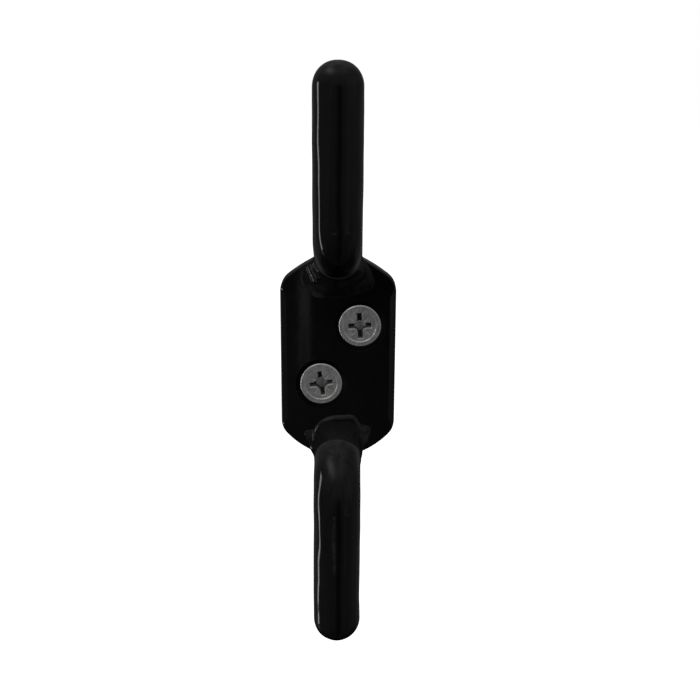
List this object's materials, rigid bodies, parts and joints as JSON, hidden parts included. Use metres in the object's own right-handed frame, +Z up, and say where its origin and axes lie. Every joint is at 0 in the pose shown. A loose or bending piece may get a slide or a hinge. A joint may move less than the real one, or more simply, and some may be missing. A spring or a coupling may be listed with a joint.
{
  "type": "cord cleat hook",
  "caption": "Black coated steel cord cleat: shouldered wall plate with a bent round-bar horn welded at each end, held by countersunk cross-recess wood screws.",
  "frame": {"origin": "centre of the plate's back face, which lies on the wall", "axes": "+Z up along the hook, +X to the right seen from the front, +Y into the wall; the horns stand out towards -Y"},
  "size_m": [0.025, 0.0453, 0.125],
  "materials": {
    "plate_enamel": "gloss black baked enamel over steel plate",
    "horn_enamel": "gloss black baked enamel over round bar, slight orange peel",
    "bead_enamel": "gloss black baked enamel over a rough weld",
    "bright_zinc": "bright zinc plate, satin"
  },
  "bodies": {
    "hook": {"base_plate": "plate_enamel", "upper_horn": "horn_enamel", "lower_horn": "horn_enamel", "upper_weld_bead": "bead_enamel", "lower_weld_bead": "bead_enamel"},
    "upper_screw": {"upper_screw": "bright_zinc"},
    "lower_screw": {"lower_screw": "bright_zinc"}
  },
  "joints": [
    {"name": "upper_screw_withdrawal", "type": "slide", "parent": "hook", "child": "upper_screw", "axis": [0, -1, 0], "range_m": [0, 0.035]},
    {"name": "lower_screw_withdrawal", "type": "slide", "parent": "hook", "child": "lower_screw", "axis": [0, -1, 0], "range_m": [0, 0.035]}
  ]
}
